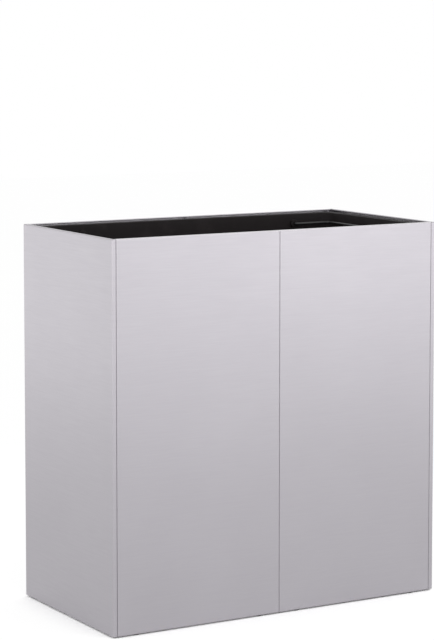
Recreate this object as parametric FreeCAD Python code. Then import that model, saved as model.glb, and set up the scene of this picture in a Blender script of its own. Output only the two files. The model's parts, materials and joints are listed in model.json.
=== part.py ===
import FreeCAD, Part

import math
import os

from FreeCAD import Vector

# Tall rectangular planter, folded from stainless sheet and bolted together inside.
# Two end panels wrap a short way round the corners, and two flat panels close the front and two
# the back, so each long side shows a seam close to each corner and one in the middle.
# A black moulded liner hangs just inside the rim, carried on three cross bearers, and lifts out.
# Millimetres. X runs along the front, -Y is the front, Z is up, and the origin is on the floor
# under the middle of the planter.

# Overall size
planter_width = 780.0
planter_depth = 400.0
planter_height = 800.0

# Folded sheet of the six panels
sheet = 0.8
bend_inner_radius = 1.2
corner_return = 10.0
flange_depth = 20.0
lip_width = 8.0
hem_length = 4.0
hem_gap = 1.0
hem_inner_radius = 0.4
sole_width = 20.0
mitre_gap = 0.4
seam_gap = 0.2
fold_relief = 0.5

# Lift-out liner, moulded with a hollow rim
liner_set_down = 5.0
liner_rim_gap = 3.0
liner_rim_width = 8.0
liner_rim_corner_radius = 12.0
liner_rim_skirt = 7.0
liner_height = 330.0
liner_wall = 3.0
liner_corner_radius = 30.0
liner_floor_radius = 12.0
liner_draft_degrees = 2.0
liner_rest_gap = 0.2
liner_drain_radius = 5.0
liner_drain_columns = 4
liner_drain_rows = 2
liner_flange_gap = 6.0
rim_notch_gap = 3.0

# Bail handles of the liner, round wire sprung into moulded bosses
bail_wire_radius = 3.0
bail_arm_length = 85.0
bail_bend_radius = 9.0
bail_drop = 21.0
bail_end_gap = 6.0
bail_boss_radius = 9.0
bail_boss_length = 6.0
bail_pin_depth = 6.5
bail_pin_end_gap = 0.5
bail_running_gap = 0.1
bail_side_gap = 0.5
bail_rest_gap = 0.3
bail_ledge_width = 40.0
bail_ledge_thickness = 4.0

# Cross bearers, folded angles that carry the liner and tie the front to the back
bearer_leg = 25.0
bearer_sheet = 2.0
bearer_inner_radius = 1.0
bearer_end_gap = 1.0

# Screws and nuts of the upright seams
screw_radius = 2.5
screw_end_gap = 2.0
screw_head_radius = 4.75
screw_head_height = 3.4
screw_head_rounding = 1.5
screw_slot_width = 1.2
screw_slot_length = 5.0
screw_slot_depth = 1.6
screw_hole_gap = 0.25
first_screw_height = 70.0
top_screw_drop = 70.0
nut_across_flats = 8.0
nut_height = 4.0
thread_gap = 0.05

# Floor plate and the push-in glides that hold it and carry the planter
floor_sheet = 1.0
floor_edge_gap = 1.5
floor_notch_gap = 2.0
floor_drain_radius = 8.0
floor_drain_columns = 4
floor_drain_rows = 2
glide_height = 2.5
glide_radius = 8.5
glide_chamfer = 0.8
glide_stud_radius = 3.0
glide_barb_radius = 4.2
glide_barb_height = 2.0
glide_hole_gap = 0.15
glide_inset = 45.0

# Every cutting tool runs this far past the faces it cuts
overrun = 1.0

# Places worked out from the sizes above
half_width = planter_width / 2
half_depth = planter_depth / 2
panel_width = half_width - corner_return
bend_radius = bend_inner_radius + sheet
hem_radius = hem_inner_radius + sheet
hem_height = hem_gap + 2 * sheet
bearer_bend_radius = bearer_inner_radius + bearer_sheet
screw_length = corner_return - screw_end_gap
screw_hole_radius = screw_radius + screw_hole_gap
screw_inset = flange_depth / 2
sole_z = glide_height
rim_z = planter_height
mitre_step = mitre_gap / math.sqrt(2)
rim_inset = lip_width + liner_rim_gap
liner_inset = max(rim_inset + liner_rim_width, flange_depth + liner_flange_gap)
liner_top = rim_z - liner_set_down
liner_bottom = liner_top - liner_height
bearer_top = liner_bottom - liner_rest_gap
bearer_screw_z = bearer_top - bearer_leg / 2
top_screw_z = rim_z - top_screw_drop
lower_screw_z = (first_screw_height + bearer_screw_z) / 2
screw_heights = [first_screw_height, lower_screw_z, bearer_screw_z, top_screw_z]
glide_places = [glide_inset, panel_width - glide_inset]
glide_setback = (bend_radius + sole_width) / 2
glide_hole_radius = glide_stud_radius + glide_hole_gap

X_AXIS = Vector(1, 0, 0)
Y_AXIS = Vector(0, 1, 0)
Z_AXIS = Vector(0, 0, 1)


# Helpers for folded sheet

def offset_points(points, normal, distance):
    """The open polyline moved sideways by distance, towards normal x direction."""
    sides = []
    for start, end in zip(points, points[1:]):
        sides.append(normal.cross((end - start).normalize()))
    moved = [points[0] + sides[0] * distance]
    for point, before, after in zip(points[1:], sides, sides[1:]):
        moved.append(point + (before + after) * (distance / (1 + before.dot(after))))
    return moved + [points[-1] + sides[-1] * distance]


def rounded_edges(points, radii):
    """Lines and tangent arcs along an open polyline, with one radius for each inner corner."""
    edges = []
    here = points[0]
    for index, radius in enumerate(radii, start=1):
        corner = points[index]
        back = (points[index - 1] - corner).normalize()
        ahead = (points[index + 1] - corner).normalize()
        half_angle = back.getAngle(ahead) / 2
        reach = radius / math.tan(half_angle)
        middle = (back + ahead).normalize()
        centre_distance = radius / math.sin(half_angle)
        arc_start = corner + back * reach
        arc_end = corner + ahead * reach
        arc_middle = corner + middle * (centre_distance - radius)
        if (arc_start - here).Length > Part.Vertex(here).Tolerance:
            edges.append(Part.LineSegment(here, arc_start).toShape())
        edges.append(Part.Arc(arc_start, arc_middle, arc_end).toShape())
        here = arc_end
    if (points[-1] - here).Length > Part.Vertex(here).Tolerance:
        edges.append(Part.LineSegment(here, points[-1]).toShape())
    return edges


def folded_sheet(points, radii, normal, thickness, sweep):
    """A sheet whose outer face follows the points, with all folds towards normal x direction."""
    inner = offset_points(points, normal, thickness)
    inner_radii = [radius - thickness for radius in radii]
    edges = rounded_edges(points, radii)
    edges.append(Part.LineSegment(points[-1], inner[-1]).toShape())
    edges += rounded_edges(inner, inner_radii)
    edges.append(Part.LineSegment(inner[0], points[0]).toShape())
    outline = Part.Wire(Part.__sortEdges__(edges))
    return Part.Face(outline).extrude(sweep)


def prism(corners, low_z, high_z):
    """An upright prism on a polygon of (x, y) corners."""
    points = [Vector(x, y, low_z) for x, y in corners]
    outline = Part.makePolygon(points + points[:1])
    return Part.Face(outline).extrude(Z_AXIS * (high_z - low_z))


def block(low, high):
    """A box between two corners."""
    size = Vector(*high) - Vector(*low)
    return Part.makeBox(size.x, size.y, size.z, Vector(*low))


def joined(pieces):
    """One solid from pieces that share faces."""
    whole = pieces[0].multiFuse(pieces[1:]).removeSplitter()
    return whole.Solids[0] if len(whole.Solids) == 1 else whole


def turned(shape, degrees, x, y):
    """A copy turned about Z and then moved to x, y."""
    copy = shape.copy()
    copy.rotate(Vector(), Z_AXIS, degrees)
    copy.translate(Vector(x, y, 0))
    return copy


# Folds shared by the panels. A panel is built with its outer face on y = 0, its width along +x
# and the inside of the planter towards +y.

def edge_bend(start, end, z, inward):
    """The rounded fold between a face and its lip (inward -1) or its sole (inward 1)."""
    points = [
        Vector(start, 0, z + inward * bend_radius),
        Vector(start, 0, z),
        Vector(start, bend_radius, z),
    ]
    return folded_sheet(points, [bend_radius], X_AXIS * inward, sheet, X_AXIS * (end - start))


def hemmed_lip(start, end):
    """The flat of the rim with its raw edge folded back underneath."""
    under_z = rim_z - hem_height
    points = [
        Vector(start, bend_radius, rim_z),
        Vector(start, lip_width, rim_z),
        Vector(start, lip_width, under_z),
        Vector(start, lip_width - hem_length, under_z),
    ]
    return folded_sheet(points, [hem_radius, hem_radius], -X_AXIS, sheet, X_AXIS * (end - start))


def flat_sole(start, end):
    """The flat flange under a panel."""
    return block((start, bend_radius, sole_z), (end, sole_width, sole_z + sheet))


def ball_corner(corner_x, z, towards_x, towards_z):
    """The welded and ground corner where the folds of two edges meet."""
    corner = Vector(corner_x, 0, z)
    reach = Vector(towards_x * bend_radius, bend_radius, towards_z * bend_radius)
    centre = corner + reach
    shell = Part.makeSphere(bend_radius, centre).cut(Part.makeSphere(bend_inner_radius, centre))
    low = [min(pair) for pair in zip(corner, centre)]
    high = [max(pair) for pair in zip(corner, centre)]
    return shell.common(block(low, high))


def four_ball_corners(width):
    """The ball corners of a face that runs from x = 0 to the width."""
    corners = []
    for corner_x, towards_x in ((0, 1), (width, -1)):
        corners.append(ball_corner(corner_x, rim_z, towards_x, -1))
        corners.append(ball_corner(corner_x, sole_z, towards_x, 1))
    return corners


def flange_head_cuts(low_x, high_x, low_y, high_y, along_y):
    """Space over a joint flange for the hem, and beside it for the liner's rim."""
    hem_z = rim_z - hem_height - fold_relief
    rim_notch_z = liner_top - liner_rim_skirt - rim_notch_gap
    setback = rim_inset - rim_notch_gap
    hem_cut = block((low_x, low_y, hem_z), (high_x, high_y, rim_z))
    if along_y:
        low_y = setback
    elif low_x < setback:
        low_x = setback
    else:
        high_x = planter_depth - setback
    rim_cut = block((low_x, low_y, rim_notch_z), (high_x, high_y, rim_z))
    return [hem_cut, rim_cut]


# Front and back panels

def side_panel(corner_at_start):
    """One of the four flat panels. The end at a corner of the planter has mitred lip and sole."""
    points = [
        Vector(0, flange_depth, sole_z + bend_radius),
        Vector(0, 0, sole_z + bend_radius),
        Vector(panel_width, 0, sole_z + bend_radius),
        Vector(panel_width, flange_depth, sole_z + bend_radius),
    ]
    face_height = rim_z - sole_z - 2 * bend_radius
    face = folded_sheet(points, [bend_radius] * 2, Z_AXIS, sheet, Z_AXIS * face_height)
    inner_edge = flange_depth + overrun
    cuts = flange_head_cuts(-overrun, bend_radius, bend_radius, inner_edge, True)
    far_edge = panel_width - bend_radius
    cuts += flange_head_cuts(far_edge, panel_width + overrun, bend_radius, inner_edge, True)
    for height in screw_heights:
        hole_start = Vector(-overrun, screw_inset, height)
        hole_length = panel_width + 2 * overrun
        cuts.append(Part.makeCylinder(screw_hole_radius, hole_length, hole_start, X_AXIS))
    face = face.cut(cuts)

    lip = hemmed_lip(seam_gap, panel_width - seam_gap)
    sole = flat_sole(seam_gap, panel_width - seam_gap)
    lip = lip.cut(side_mitre(lip_width, corner_at_start))
    sole = sole.cut(side_mitre(sole_width, corner_at_start))
    for place in glide_places:
        hole_start = Vector(place, glide_setback, sole_z - overrun)
        sole = sole.cut(Part.makeCylinder(glide_hole_radius, sheet + 2 * overrun, hole_start))
    bends = [
        edge_bend(bend_radius, panel_width - bend_radius, rim_z, -1),
        edge_bend(bend_radius, panel_width - bend_radius, sole_z, 1),
    ]
    return joined([face, lip, sole] + bends + four_ball_corners(panel_width))


def side_mitre(width, corner_at_start):
    """What the mitre takes off the corner end of a side panel's lip or sole."""
    reach = width + overrun
    corners = [
        (-overrun, corner_return - overrun - mitre_step),
        (reach - corner_return + mitre_step, reach),
        (-overrun, reach),
    ]
    if not corner_at_start:
        corners = [(panel_width - x, y) for x, y in corners]
    return prism(corners, sole_z - overrun, rim_z + overrun)


# End panels

def end_panel():
    """A panel across one end, wrapped round both corners and turned in again to joint flanges."""
    low_z = sole_z + bend_radius
    plan = [
        (flange_depth, corner_return),
        (0, corner_return),
        (0, 0),
        (planter_depth, 0),
        (planter_depth, corner_return),
        (planter_depth - flange_depth, corner_return),
    ]
    points = [Vector(x, y, low_z) for x, y in plan]
    face_height = rim_z - sole_z - 2 * bend_radius
    face = folded_sheet(points, [bend_radius] * 4, Z_AXIS, sheet, Z_AXIS * face_height)
    low_y = corner_return - sheet - overrun
    high_y = corner_return + overrun
    inner_edge = flange_depth + overrun
    far_inner_edge = planter_depth - inner_edge
    far_edge = planter_depth - bend_radius
    cuts = flange_head_cuts(bend_radius, inner_edge, low_y, high_y, False)
    cuts += flange_head_cuts(far_inner_edge, far_edge, low_y, high_y, False)
    for height in screw_heights:
        for place in (screw_inset, planter_depth - screw_inset):
            hole_start = Vector(place, low_y, height)
            cuts.append(Part.makeCylinder(screw_hole_radius, high_y - low_y, hole_start, Y_AXIS))
    pieces = [face.cut(cuts)]

    lip = hemmed_lip(0, planter_depth)
    sole = flat_sole(0, planter_depth)
    pieces.append(lip.cut(end_mitres(lip_width)))
    pieces.append(sole.cut(end_mitres(sole_width)))
    for z, inward in ((rim_z, -1), (sole_z, 1)):
        pieces.append(edge_bend(bend_radius, planter_depth - bend_radius, z, inward))
        pieces += return_folds(z, inward)
    return joined(pieces + four_ball_corners(planter_depth))


def end_mitres(width):
    """What the mitres take off both ends of an end panel's lip or sole."""
    reach = width + overrun
    corners = [(-overrun, -overrun - mitre_step), (reach + mitre_step, reach), (-overrun, reach)]
    far_corners = [(planter_depth - x, y) for x, y in corners]
    low_z = sole_z - overrun
    high_z = rim_z + overrun
    return [prism(corners, low_z, high_z), prism(far_corners, low_z, high_z)]


def return_folds(z, inward):
    """The small mitred tabs that close the rim or the sole over the two wrapped corners."""
    tab_end = corner_return - seam_gap
    tab_width = sole_width if inward > 0 else lip_width
    tab = prism(
        [
            (bend_radius, bend_radius + mitre_step),
            (bend_radius, tab_end),
            (tab_end - mitre_step, tab_end),
        ],
        z if inward > 0 else z - sheet,
        z + sheet if inward > 0 else z,
    )
    tab = tab.common(block((0, 0, z - overrun), (tab_width, corner_return, z + overrun)))
    bend = edge_bend(bend_radius, corner_return - bend_radius, z, inward)
    bend = bend.mirror(Vector(), Vector(1, -1, 0))
    middle = Vector(planter_depth / 2, 0, 0)
    folds = [tab, bend]
    return folds + [fold.mirror(middle, X_AXIS) for fold in folds]


# Seam hardware

def pan_screw():
    """A cross-recessed pan-head screw along -x, with its head seated on x = 0."""
    head = Part.makeCylinder(screw_head_radius, screw_head_height, Vector(), X_AXIS)
    crown = [edge for edge in head.Edges if edge.BoundBox.XMin > screw_head_height / 2]
    crown = [edge for edge in crown if edge.Closed]
    head = head.makeFillet(screw_head_rounding, crown)
    bottom = screw_head_height - screw_slot_depth
    top = screw_head_height + overrun
    narrow = screw_slot_width / 2
    broad = screw_slot_length / 2
    head = head.cut(block((bottom, -narrow, -broad), (top, narrow, broad)))
    head = head.cut(block((bottom, -broad, -narrow), (top, broad, narrow)))
    shank = Part.makeCylinder(screw_radius, screw_length, Vector(), -X_AXIS)
    return joined([head, shank])


def hex_nut():
    """A hexagon nut along -x from x = 0."""
    corner_radius = nut_across_flats / math.sqrt(3)
    corners = []
    for step in range(6):
        angle = math.radians(60 * step)
        corners.append(Vector(0, corner_radius * math.cos(angle), corner_radius * math.sin(angle)))
    outline = Part.makePolygon(corners + corners[:1])
    body = Part.Face(outline).extrude(-X_AXIS * nut_height)
    bore_start = Vector(overrun, 0, 0)
    bore_length = nut_height + 2 * overrun
    return body.cut(
        Part.makeCylinder(screw_radius + thread_gap, bore_length, bore_start, -X_AXIS)
    )


def seam_hardware(seam_x, side_y, head_side):
    """Screws and nuts of one seam. head_side is 1 where the heads face +x, or -1."""
    screws = []
    nuts = []
    y = side_y * (half_depth - screw_inset)
    for height in screw_heights:
        grip = bearer_sheet if height == bearer_screw_z else 0
        screw = pan_screw()
        nut = hex_nut()
        if head_side < 0:
            screw = screw.mirror(Vector(), X_AXIS)
            nut = nut.mirror(Vector(), X_AXIS)
        screw.translate(Vector(seam_x + head_side * (sheet + grip), y, height))
        nut.translate(Vector(seam_x - head_side * sheet, y, height))
        screws.append(screw)
        nuts.append(nut)
    return Part.makeCompound(screws), Part.makeCompound(nuts)


def cross_bearer(seam_x, head_side):
    """A folded angle bolted to the front and back flanges of one pair of seams."""
    start = bend_radius + bearer_end_gap - half_depth
    length = -2 * start
    wall_x = seam_x + head_side * sheet
    points = [
        Vector(wall_x + head_side * bearer_leg, start, bearer_top),
        Vector(wall_x, start, bearer_top),
        Vector(wall_x, start, bearer_top - bearer_leg),
    ]
    normal = -Y_AXIS * head_side
    bearer = folded_sheet(points, [bearer_bend_radius], normal, bearer_sheet, Y_AXIS * length)
    hole_x = wall_x - head_side * overrun
    hole_length = bearer_sheet + 2 * overrun
    for side_y in (-1, 1):
        hole_start = Vector(hole_x, side_y * (half_depth - screw_inset), bearer_screw_z)
        hole = Part.makeCylinder(screw_hole_radius, hole_length, hole_start, X_AXIS * head_side)
        bearer = bearer.cut(hole)
    return bearer


# Floor plate and glides

def grid_places(columns, rows, half_x, half_y):
    """Centres of a grid that shares a floor of the given half sizes evenly."""
    for column in range(columns):
        for row in range(rows):
            share_x = (2 * column + 1) / columns - 1
            share_y = (2 * row + 1) / rows - 1
            yield half_x * share_x, half_y * share_y


def all_glide_places():
    """Where the glides stand, as (side, end, x, y) with side and end -1 or 1."""
    for side in (-1, 1):
        for end in (-1, 1):
            for place in glide_places:
                yield side, end, end * (panel_width - place), side * (half_depth - glide_setback)


def floor_plate():
    """A flat plate on the soles of the panels, notched round the seams and drilled to drain."""
    low_z = sole_z + sheet
    high_z = low_z + floor_sheet
    edge_x = half_width - sheet - floor_edge_gap
    edge_y = half_depth - sheet - floor_edge_gap
    notch_x = sheet + floor_notch_gap
    notch_y = half_depth - flange_depth - floor_notch_gap
    plate = block((-edge_x, -edge_y, low_z), (edge_x, edge_y, high_z))
    cuts = []
    spans = [
        (-half_width, notch_x - panel_width),
        (-notch_x, notch_x),
        (panel_width - notch_x, half_width),
    ]
    for start, end in spans:
        cuts.append(block((start, -half_depth, sole_z), (end, -notch_y, high_z + overrun)))
        cuts.append(block((start, notch_y, sole_z), (end, half_depth, high_z + overrun)))
    hole_length = floor_sheet + 2 * overrun
    for x, y in grid_places(floor_drain_columns, floor_drain_rows, edge_x, edge_y):
        start = Vector(x, y, low_z - overrun)
        cuts.append(Part.makeCylinder(floor_drain_radius, hole_length, start))
    for side, end, x, y in all_glide_places():
        start = Vector(x, y, low_z - overrun)
        cuts.append(Part.makeCylinder(glide_hole_radius, hole_length, start))
    return plate.cut(cuts)


def glide():
    """A push-in plastic glide: a disc under the sole, a stud and a barb above the floor plate."""
    seat_z = sole_z + sheet + floor_sheet
    barb_z = seat_z + glide_barb_height
    profile = [
        (0, 0),
        (glide_radius - glide_chamfer, 0),
        (glide_radius, glide_chamfer),
        (glide_radius, glide_height),
        (glide_stud_radius, glide_height),
        (glide_stud_radius, seat_z),
        (glide_barb_radius, seat_z),
        (glide_stud_radius, barb_z),
        (0, barb_z),
    ]
    points = [Vector(radius, 0, z) for radius, z in profile]
    outline = Part.makePolygon(points + points[:1])
    return Part.Face(outline).revolve(Vector(), Z_AXIS, 360)


# Liner and its bails

def liner_half_sizes(z, inset):
    """Half the liner's length and width at a height, inset from its outer wall."""
    taper = (liner_top - z) * math.tan(math.radians(liner_draft_degrees))
    shrink = liner_inset + taper + inset
    return half_width - shrink, half_depth - shrink


def rounded_rectangle(half_x, half_y, radius, z):
    """A closed wire of four lines and four quarter arcs."""
    diagonal = radius / math.sqrt(2)
    inner_x = half_x - radius
    inner_y = half_y - radius
    edges = []
    for turn in range(4):
        sign_x, sign_y = ((1, 1), (-1, 1), (-1, -1), (1, -1))[turn]
        centre = Vector(sign_x * inner_x, sign_y * inner_y, z)
        on_x = centre + Vector(sign_x * radius, 0, 0)
        on_y = centre + Vector(0, sign_y * radius, 0)
        middle = centre + Vector(sign_x * diagonal, sign_y * diagonal, 0)
        ends = (on_x, on_y) if turn % 2 == 0 else (on_y, on_x)
        edges.append(Part.Arc(ends[0], middle, ends[1]).toShape())
        if turn % 2 == 0:
            far_end = Vector(-sign_x * inner_x, ends[1].y, z)
        else:
            far_end = Vector(ends[1].x, -sign_y * inner_y, z)
        edges.append(Part.LineSegment(ends[1], far_end).toShape())
    return Part.Wire(edges)


def tapered_tub(low_z, high_z, inset):
    """The filled form of the liner's wall between two heights, with a rounded lower edge."""
    low_x, low_y = liner_half_sizes(low_z, inset)
    high_x, high_y = liner_half_sizes(high_z, inset)
    radius = liner_corner_radius - inset
    low = rounded_rectangle(low_x, low_y, radius, low_z)
    high = rounded_rectangle(high_x, high_y, radius, high_z)
    tub = Part.makeLoft([low, high], True, True)
    lower_edges = [edge for edge in tub.Edges if edge.BoundBox.ZMax < (low_z + high_z) / 2]
    return tub.makeFillet(liner_floor_radius - inset, lower_edges)


def liner_rim():
    """The rim turned outwards from the wall, with a skirt turned down from its edge."""
    wall_x, wall_y = liner_half_sizes(liner_top, liner_wall)
    edge_x = half_width - rim_inset
    edge_y = half_depth - rim_inset
    skirt_z = liner_top - liner_rim_skirt
    under_z = liner_top - liner_wall
    outside = rounded_rectangle(edge_x, edge_y, liner_rim_corner_radius, skirt_z)
    inside = rounded_rectangle(wall_x, wall_y, liner_corner_radius - liner_wall, skirt_z)
    hollow_radius = liner_rim_corner_radius - liner_wall
    hollow = rounded_rectangle(
        edge_x - liner_wall, edge_y - liner_wall, hollow_radius, skirt_z - overrun
    )
    rim = Part.Face(outside).extrude(Z_AXIS * liner_rim_skirt)
    rim = rim.cut(Part.Face(hollow).extrude(Z_AXIS * (under_z - skirt_z + overrun)))
    return rim, Part.Face(inside).extrude(Z_AXIS * (liner_rim_skirt + overrun))


def bail_pivot():
    """Distance of the bail's pivot from the middle, along x, and its height."""
    height = liner_top - bail_drop
    inner_x, inner_y = liner_half_sizes(height, liner_wall)
    bar_x = inner_x - bail_end_gap - bail_wire_radius
    return bar_x - bail_arm_length, height


def bail_boss_face():
    """Distance of the boss's inner face from the middle, along y."""
    inner_x, inner_y = liner_half_sizes(bail_pivot()[1], liner_wall)
    return inner_y - bail_boss_length


def planting_liner():
    """The tub with its rim, drain holes, four bail bosses and two ledges for the bails."""
    pivot_x, pivot_z = bail_pivot()
    rim, rim_mouth = liner_rim()
    outer = tapered_tub(liner_bottom, liner_top, 0).fuse(rim).removeSplitter()
    inner = tapered_tub(liner_bottom + liner_wall, liner_top, liner_wall)
    liner = outer.cut([inner, rim_mouth])

    boss_face = bail_boss_face()
    wall_x, wall_y = liner_half_sizes(pivot_z, liner_wall / 2)
    ledge_top = pivot_z - bail_wire_radius - bail_rest_gap
    ledge_reach = bail_end_gap + 2 * bail_wire_radius
    inner_x = liner_half_sizes(pivot_z, liner_wall)[0]
    additions = []
    holes = []
    for end in (-1, 1):
        for side in (-1, 1):
            boss_start = Vector(end * pivot_x, side * boss_face, pivot_z)
            outward = Y_AXIS * side
            additions.append(
                Part.makeCylinder(bail_boss_radius, wall_y - boss_face, boss_start, outward)
            )
            bore_start = boss_start - outward * overrun
            bore_radius = bail_wire_radius + bail_running_gap
            holes.append(
                Part.makeCylinder(bore_radius, bail_pin_depth + overrun, bore_start, outward)
            )
        ledge_x = sorted((end * (inner_x - ledge_reach), end * wall_x))
        additions.append(
            block(
                (ledge_x[0], -bail_ledge_width / 2, ledge_top - bail_ledge_thickness),
                (ledge_x[1], bail_ledge_width / 2, ledge_top),
            )
        )
    floor_x, floor_y = liner_half_sizes(liner_bottom, liner_wall)
    for x, y in grid_places(liner_drain_columns, liner_drain_rows, floor_x, floor_y):
        start = Vector(x, y, liner_bottom - overrun)
        holes.append(Part.makeCylinder(liner_drain_radius, liner_wall + 2 * overrun, start))
    return joined([liner] + additions).cut(holes)


def bail(end):
    """A wire handle lying flat round one end of the liner, with its pins in the bosses."""
    pivot_x, pivot_z = bail_pivot()
    boss_face = bail_boss_face()
    pin_end = boss_face + bail_pin_depth - bail_pin_end_gap
    arm_y = boss_face - bail_side_gap - bail_bend_radius
    near = end * pivot_x
    far = end * (pivot_x + bail_arm_length)
    route = [
        Vector(near, -pin_end, pivot_z),
        Vector(near, -arm_y, pivot_z),
        Vector(far, -arm_y, pivot_z),
        Vector(far, arm_y, pivot_z),
        Vector(near, arm_y, pivot_z),
        Vector(near, pin_end, pivot_z),
    ]
    path = Part.Wire(rounded_edges(route, [bail_bend_radius] * 4))
    section = Part.Wire(Part.makeCircle(bail_wire_radius, route[0], Y_AXIS))
    handle = path.makePipeShell([section], True, True)
    expected = math.pi * bail_wire_radius ** 2 * path.Length
    print("bail volume against section times length", round(handle.Volume / expected, 4))
    return handle


# The whole planter

def build_nodes():
    """Every named node with its shape."""
    corner_first = side_panel(True)
    corner_last = side_panel(False)
    end = end_panel()
    nodes = {
        "front_left_panel": turned(corner_first, 0, -panel_width, -half_depth),
        "front_right_panel": turned(corner_last, 0, 0, -half_depth),
        "back_right_panel": turned(corner_first, 180, panel_width, half_depth),
        "back_left_panel": turned(corner_last, 180, 0, half_depth),
        "left_end_panel": turned(end, -90, -half_width, half_depth),
        "right_end_panel": turned(end, 90, half_width, -half_depth),
        "floor_plate": floor_plate(),
        "planting_liner": planting_liner(),
        "left_bail": bail(-1),
        "right_bail": bail(1),
    }
    seams = [("left_corner", -panel_width, 1), ("centre", 0, 1), ("right_corner", panel_width, -1)]
    for seam_name, seam_x, head_side in seams:
        bearer_name = seam_name.replace("_corner", "") + "_cross_bearer"
        nodes[bearer_name] = cross_bearer(seam_x, head_side)
        for side_name, side_y in (("front", -1), ("back", 1)):
            screws, nuts = seam_hardware(seam_x, side_y, head_side)
            nodes[f"{side_name}_{seam_name}_screws"] = screws
            nodes[f"{side_name}_{seam_name}_nuts"] = nuts

    foot = glide()
    glides = {}
    for side, end_sign, x, y in all_glide_places():
        name = ("front" if side < 0 else "back") + ("_left" if end_sign < 0 else "_right")
        glides.setdefault(name + "_glides", []).append(turned(foot, 0, x, y))
    for name, feet in glides.items():
        nodes[name] = Part.makeCompound(feet)
    return nodes


def main():
    os.makedirs("parts", exist_ok=True)
    for name, shape in build_nodes().items():
        shape.exportStep(os.path.join("parts", name + ".step"))
        valid = all(solid.isValid() and solid.isClosed() for solid in shape.Solids)
        size = [round(length, 1) for length in
                (shape.BoundBox.XLength, shape.BoundBox.YLength, shape.BoundBox.ZLength)]
        print(name, len(shape.Solids), "solids", "valid" if valid else "INVALID", size,
              round(shape.Volume), "mm3")


main()
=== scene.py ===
# %% [markdown]
# # A folded stainless planter
#
# The planter is six folded panels of satin stainless sheet, bolted together on the inside, with a
# black moulded liner that lifts out on two wire bails. The solid model gives every size and
# place. This lesson dresses it: fine meshes for the folds and the moulding, finishes with real
# grain, and soft studio light. The first cell loads the solid model as a frame that never moves.

# %% Load the planter's frame
import json
import math

import bmesh
import bpy
from mathutils import Matrix, Vector


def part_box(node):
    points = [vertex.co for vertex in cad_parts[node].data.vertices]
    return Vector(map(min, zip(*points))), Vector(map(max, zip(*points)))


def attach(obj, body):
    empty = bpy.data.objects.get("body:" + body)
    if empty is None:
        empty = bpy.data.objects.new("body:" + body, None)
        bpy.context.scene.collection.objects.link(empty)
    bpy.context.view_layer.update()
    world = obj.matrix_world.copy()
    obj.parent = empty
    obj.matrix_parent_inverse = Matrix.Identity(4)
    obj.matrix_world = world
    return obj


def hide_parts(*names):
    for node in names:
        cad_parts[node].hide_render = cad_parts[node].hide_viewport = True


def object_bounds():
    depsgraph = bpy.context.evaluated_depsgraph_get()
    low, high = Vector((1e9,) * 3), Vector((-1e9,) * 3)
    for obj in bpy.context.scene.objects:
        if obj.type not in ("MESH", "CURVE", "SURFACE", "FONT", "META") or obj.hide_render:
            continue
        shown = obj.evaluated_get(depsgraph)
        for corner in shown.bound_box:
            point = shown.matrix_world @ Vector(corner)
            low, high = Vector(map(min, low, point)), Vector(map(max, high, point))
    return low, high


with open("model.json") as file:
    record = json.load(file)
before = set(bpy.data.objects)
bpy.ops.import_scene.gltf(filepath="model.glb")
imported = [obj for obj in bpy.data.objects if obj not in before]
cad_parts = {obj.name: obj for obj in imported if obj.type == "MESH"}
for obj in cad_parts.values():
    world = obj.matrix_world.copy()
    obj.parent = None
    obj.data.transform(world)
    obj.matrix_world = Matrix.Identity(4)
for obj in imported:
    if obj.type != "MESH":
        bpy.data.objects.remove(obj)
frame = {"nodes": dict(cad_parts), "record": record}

cad_low, cad_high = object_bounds()
print("frame", [round(side, 4) for side in cad_high - cad_low], "m,", len(frame["nodes"]), "nodes")

# %% [markdown]
# ## Sizes
#
# Outer sizes come from the frame's boxes, so the pieces sit where the solids are. Sizes that no
# box can give, such as the sheet's gauge and the radius of a fold, are written here once, in
# metres.

# %% Sizes of the folded sheet
MM = 0.001
X = Vector((1, 0, 0))
Y = Vector((0, 1, 0))
Z = Vector((0, 0, 1))

SHEET = 0.8 * MM
FOLD = 2.0 * MM
LIP_WIDTH = 8.0 * MM
HEM_LENGTH = 4.0 * MM
HEM_HEIGHT = 2.6 * MM
HEM_RADIUS = 1.2 * MM
SOLE_WIDTH = 20.0 * MM
SEAM_GAP = 0.2 * MM
MITRE_STEP = 0.4 * MM / math.sqrt(2)

left_low, left_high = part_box("front_left_panel")
half_width = cad_high.x
half_depth = cad_high.y
panel_width = left_high.x - left_low.x
flange_depth = left_high.y - left_low.y
corner_return = half_width - panel_width
sole_z = left_low.z
rim_z = left_high.z
print("panel", round(panel_width / MM), "mm wide, wrapped corner", round(corner_return / MM), "mm")

# %% [markdown]
# ## Colours and nodes
#
# Colours are written as sRGB hex, the way a paint chart gives them, and Blender's sockets want
# linear values, so one function turns one into the other. One more function adds any node, with
# its settings and its links, and serves the materials and the Geometry Nodes trees alike.

# %% Helpers for colours and nodes
NOISE_SPAN = {"From Min": 0.3, "From Max": 0.7}  # nearly all of a noise's values lie in here


def linear(hex_colour):
    """The linear RGBA of an sRGB hex colour."""
    channels = [int(hex_colour[place:place + 2], 16) / 255 for place in (1, 3, 5)]
    curve = [c / 12.92 if c <= 0.04045 else ((c + 0.055) / 1.055) ** 2.4 for c in channels]
    return (*curve, 1.0)


def add_node(tree, kind, inputs=None, **settings):
    """A new node with its settings, and with each input linked to a socket or set to a value."""
    node = tree.nodes.new(kind)
    for name, value in settings.items():
        setattr(node, name, value)
    for key, value in (inputs or {}).items():
        if isinstance(value, bpy.types.NodeSocket):
            tree.links.new(value, node.inputs[key])
        else:
            node.inputs[key].default_value = value
    return node


def new_material(name):
    """An empty node material with its tree, and the Object coordinates that patterns read."""
    material = bpy.data.materials.new(name)
    material.use_nodes = True
    tree = material.node_tree
    tree.nodes.clear()
    return material, tree, add_node(tree, "ShaderNodeTexCoord").outputs["Object"]


print("white is", linear("#FFFFFF")[:3])

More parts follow.
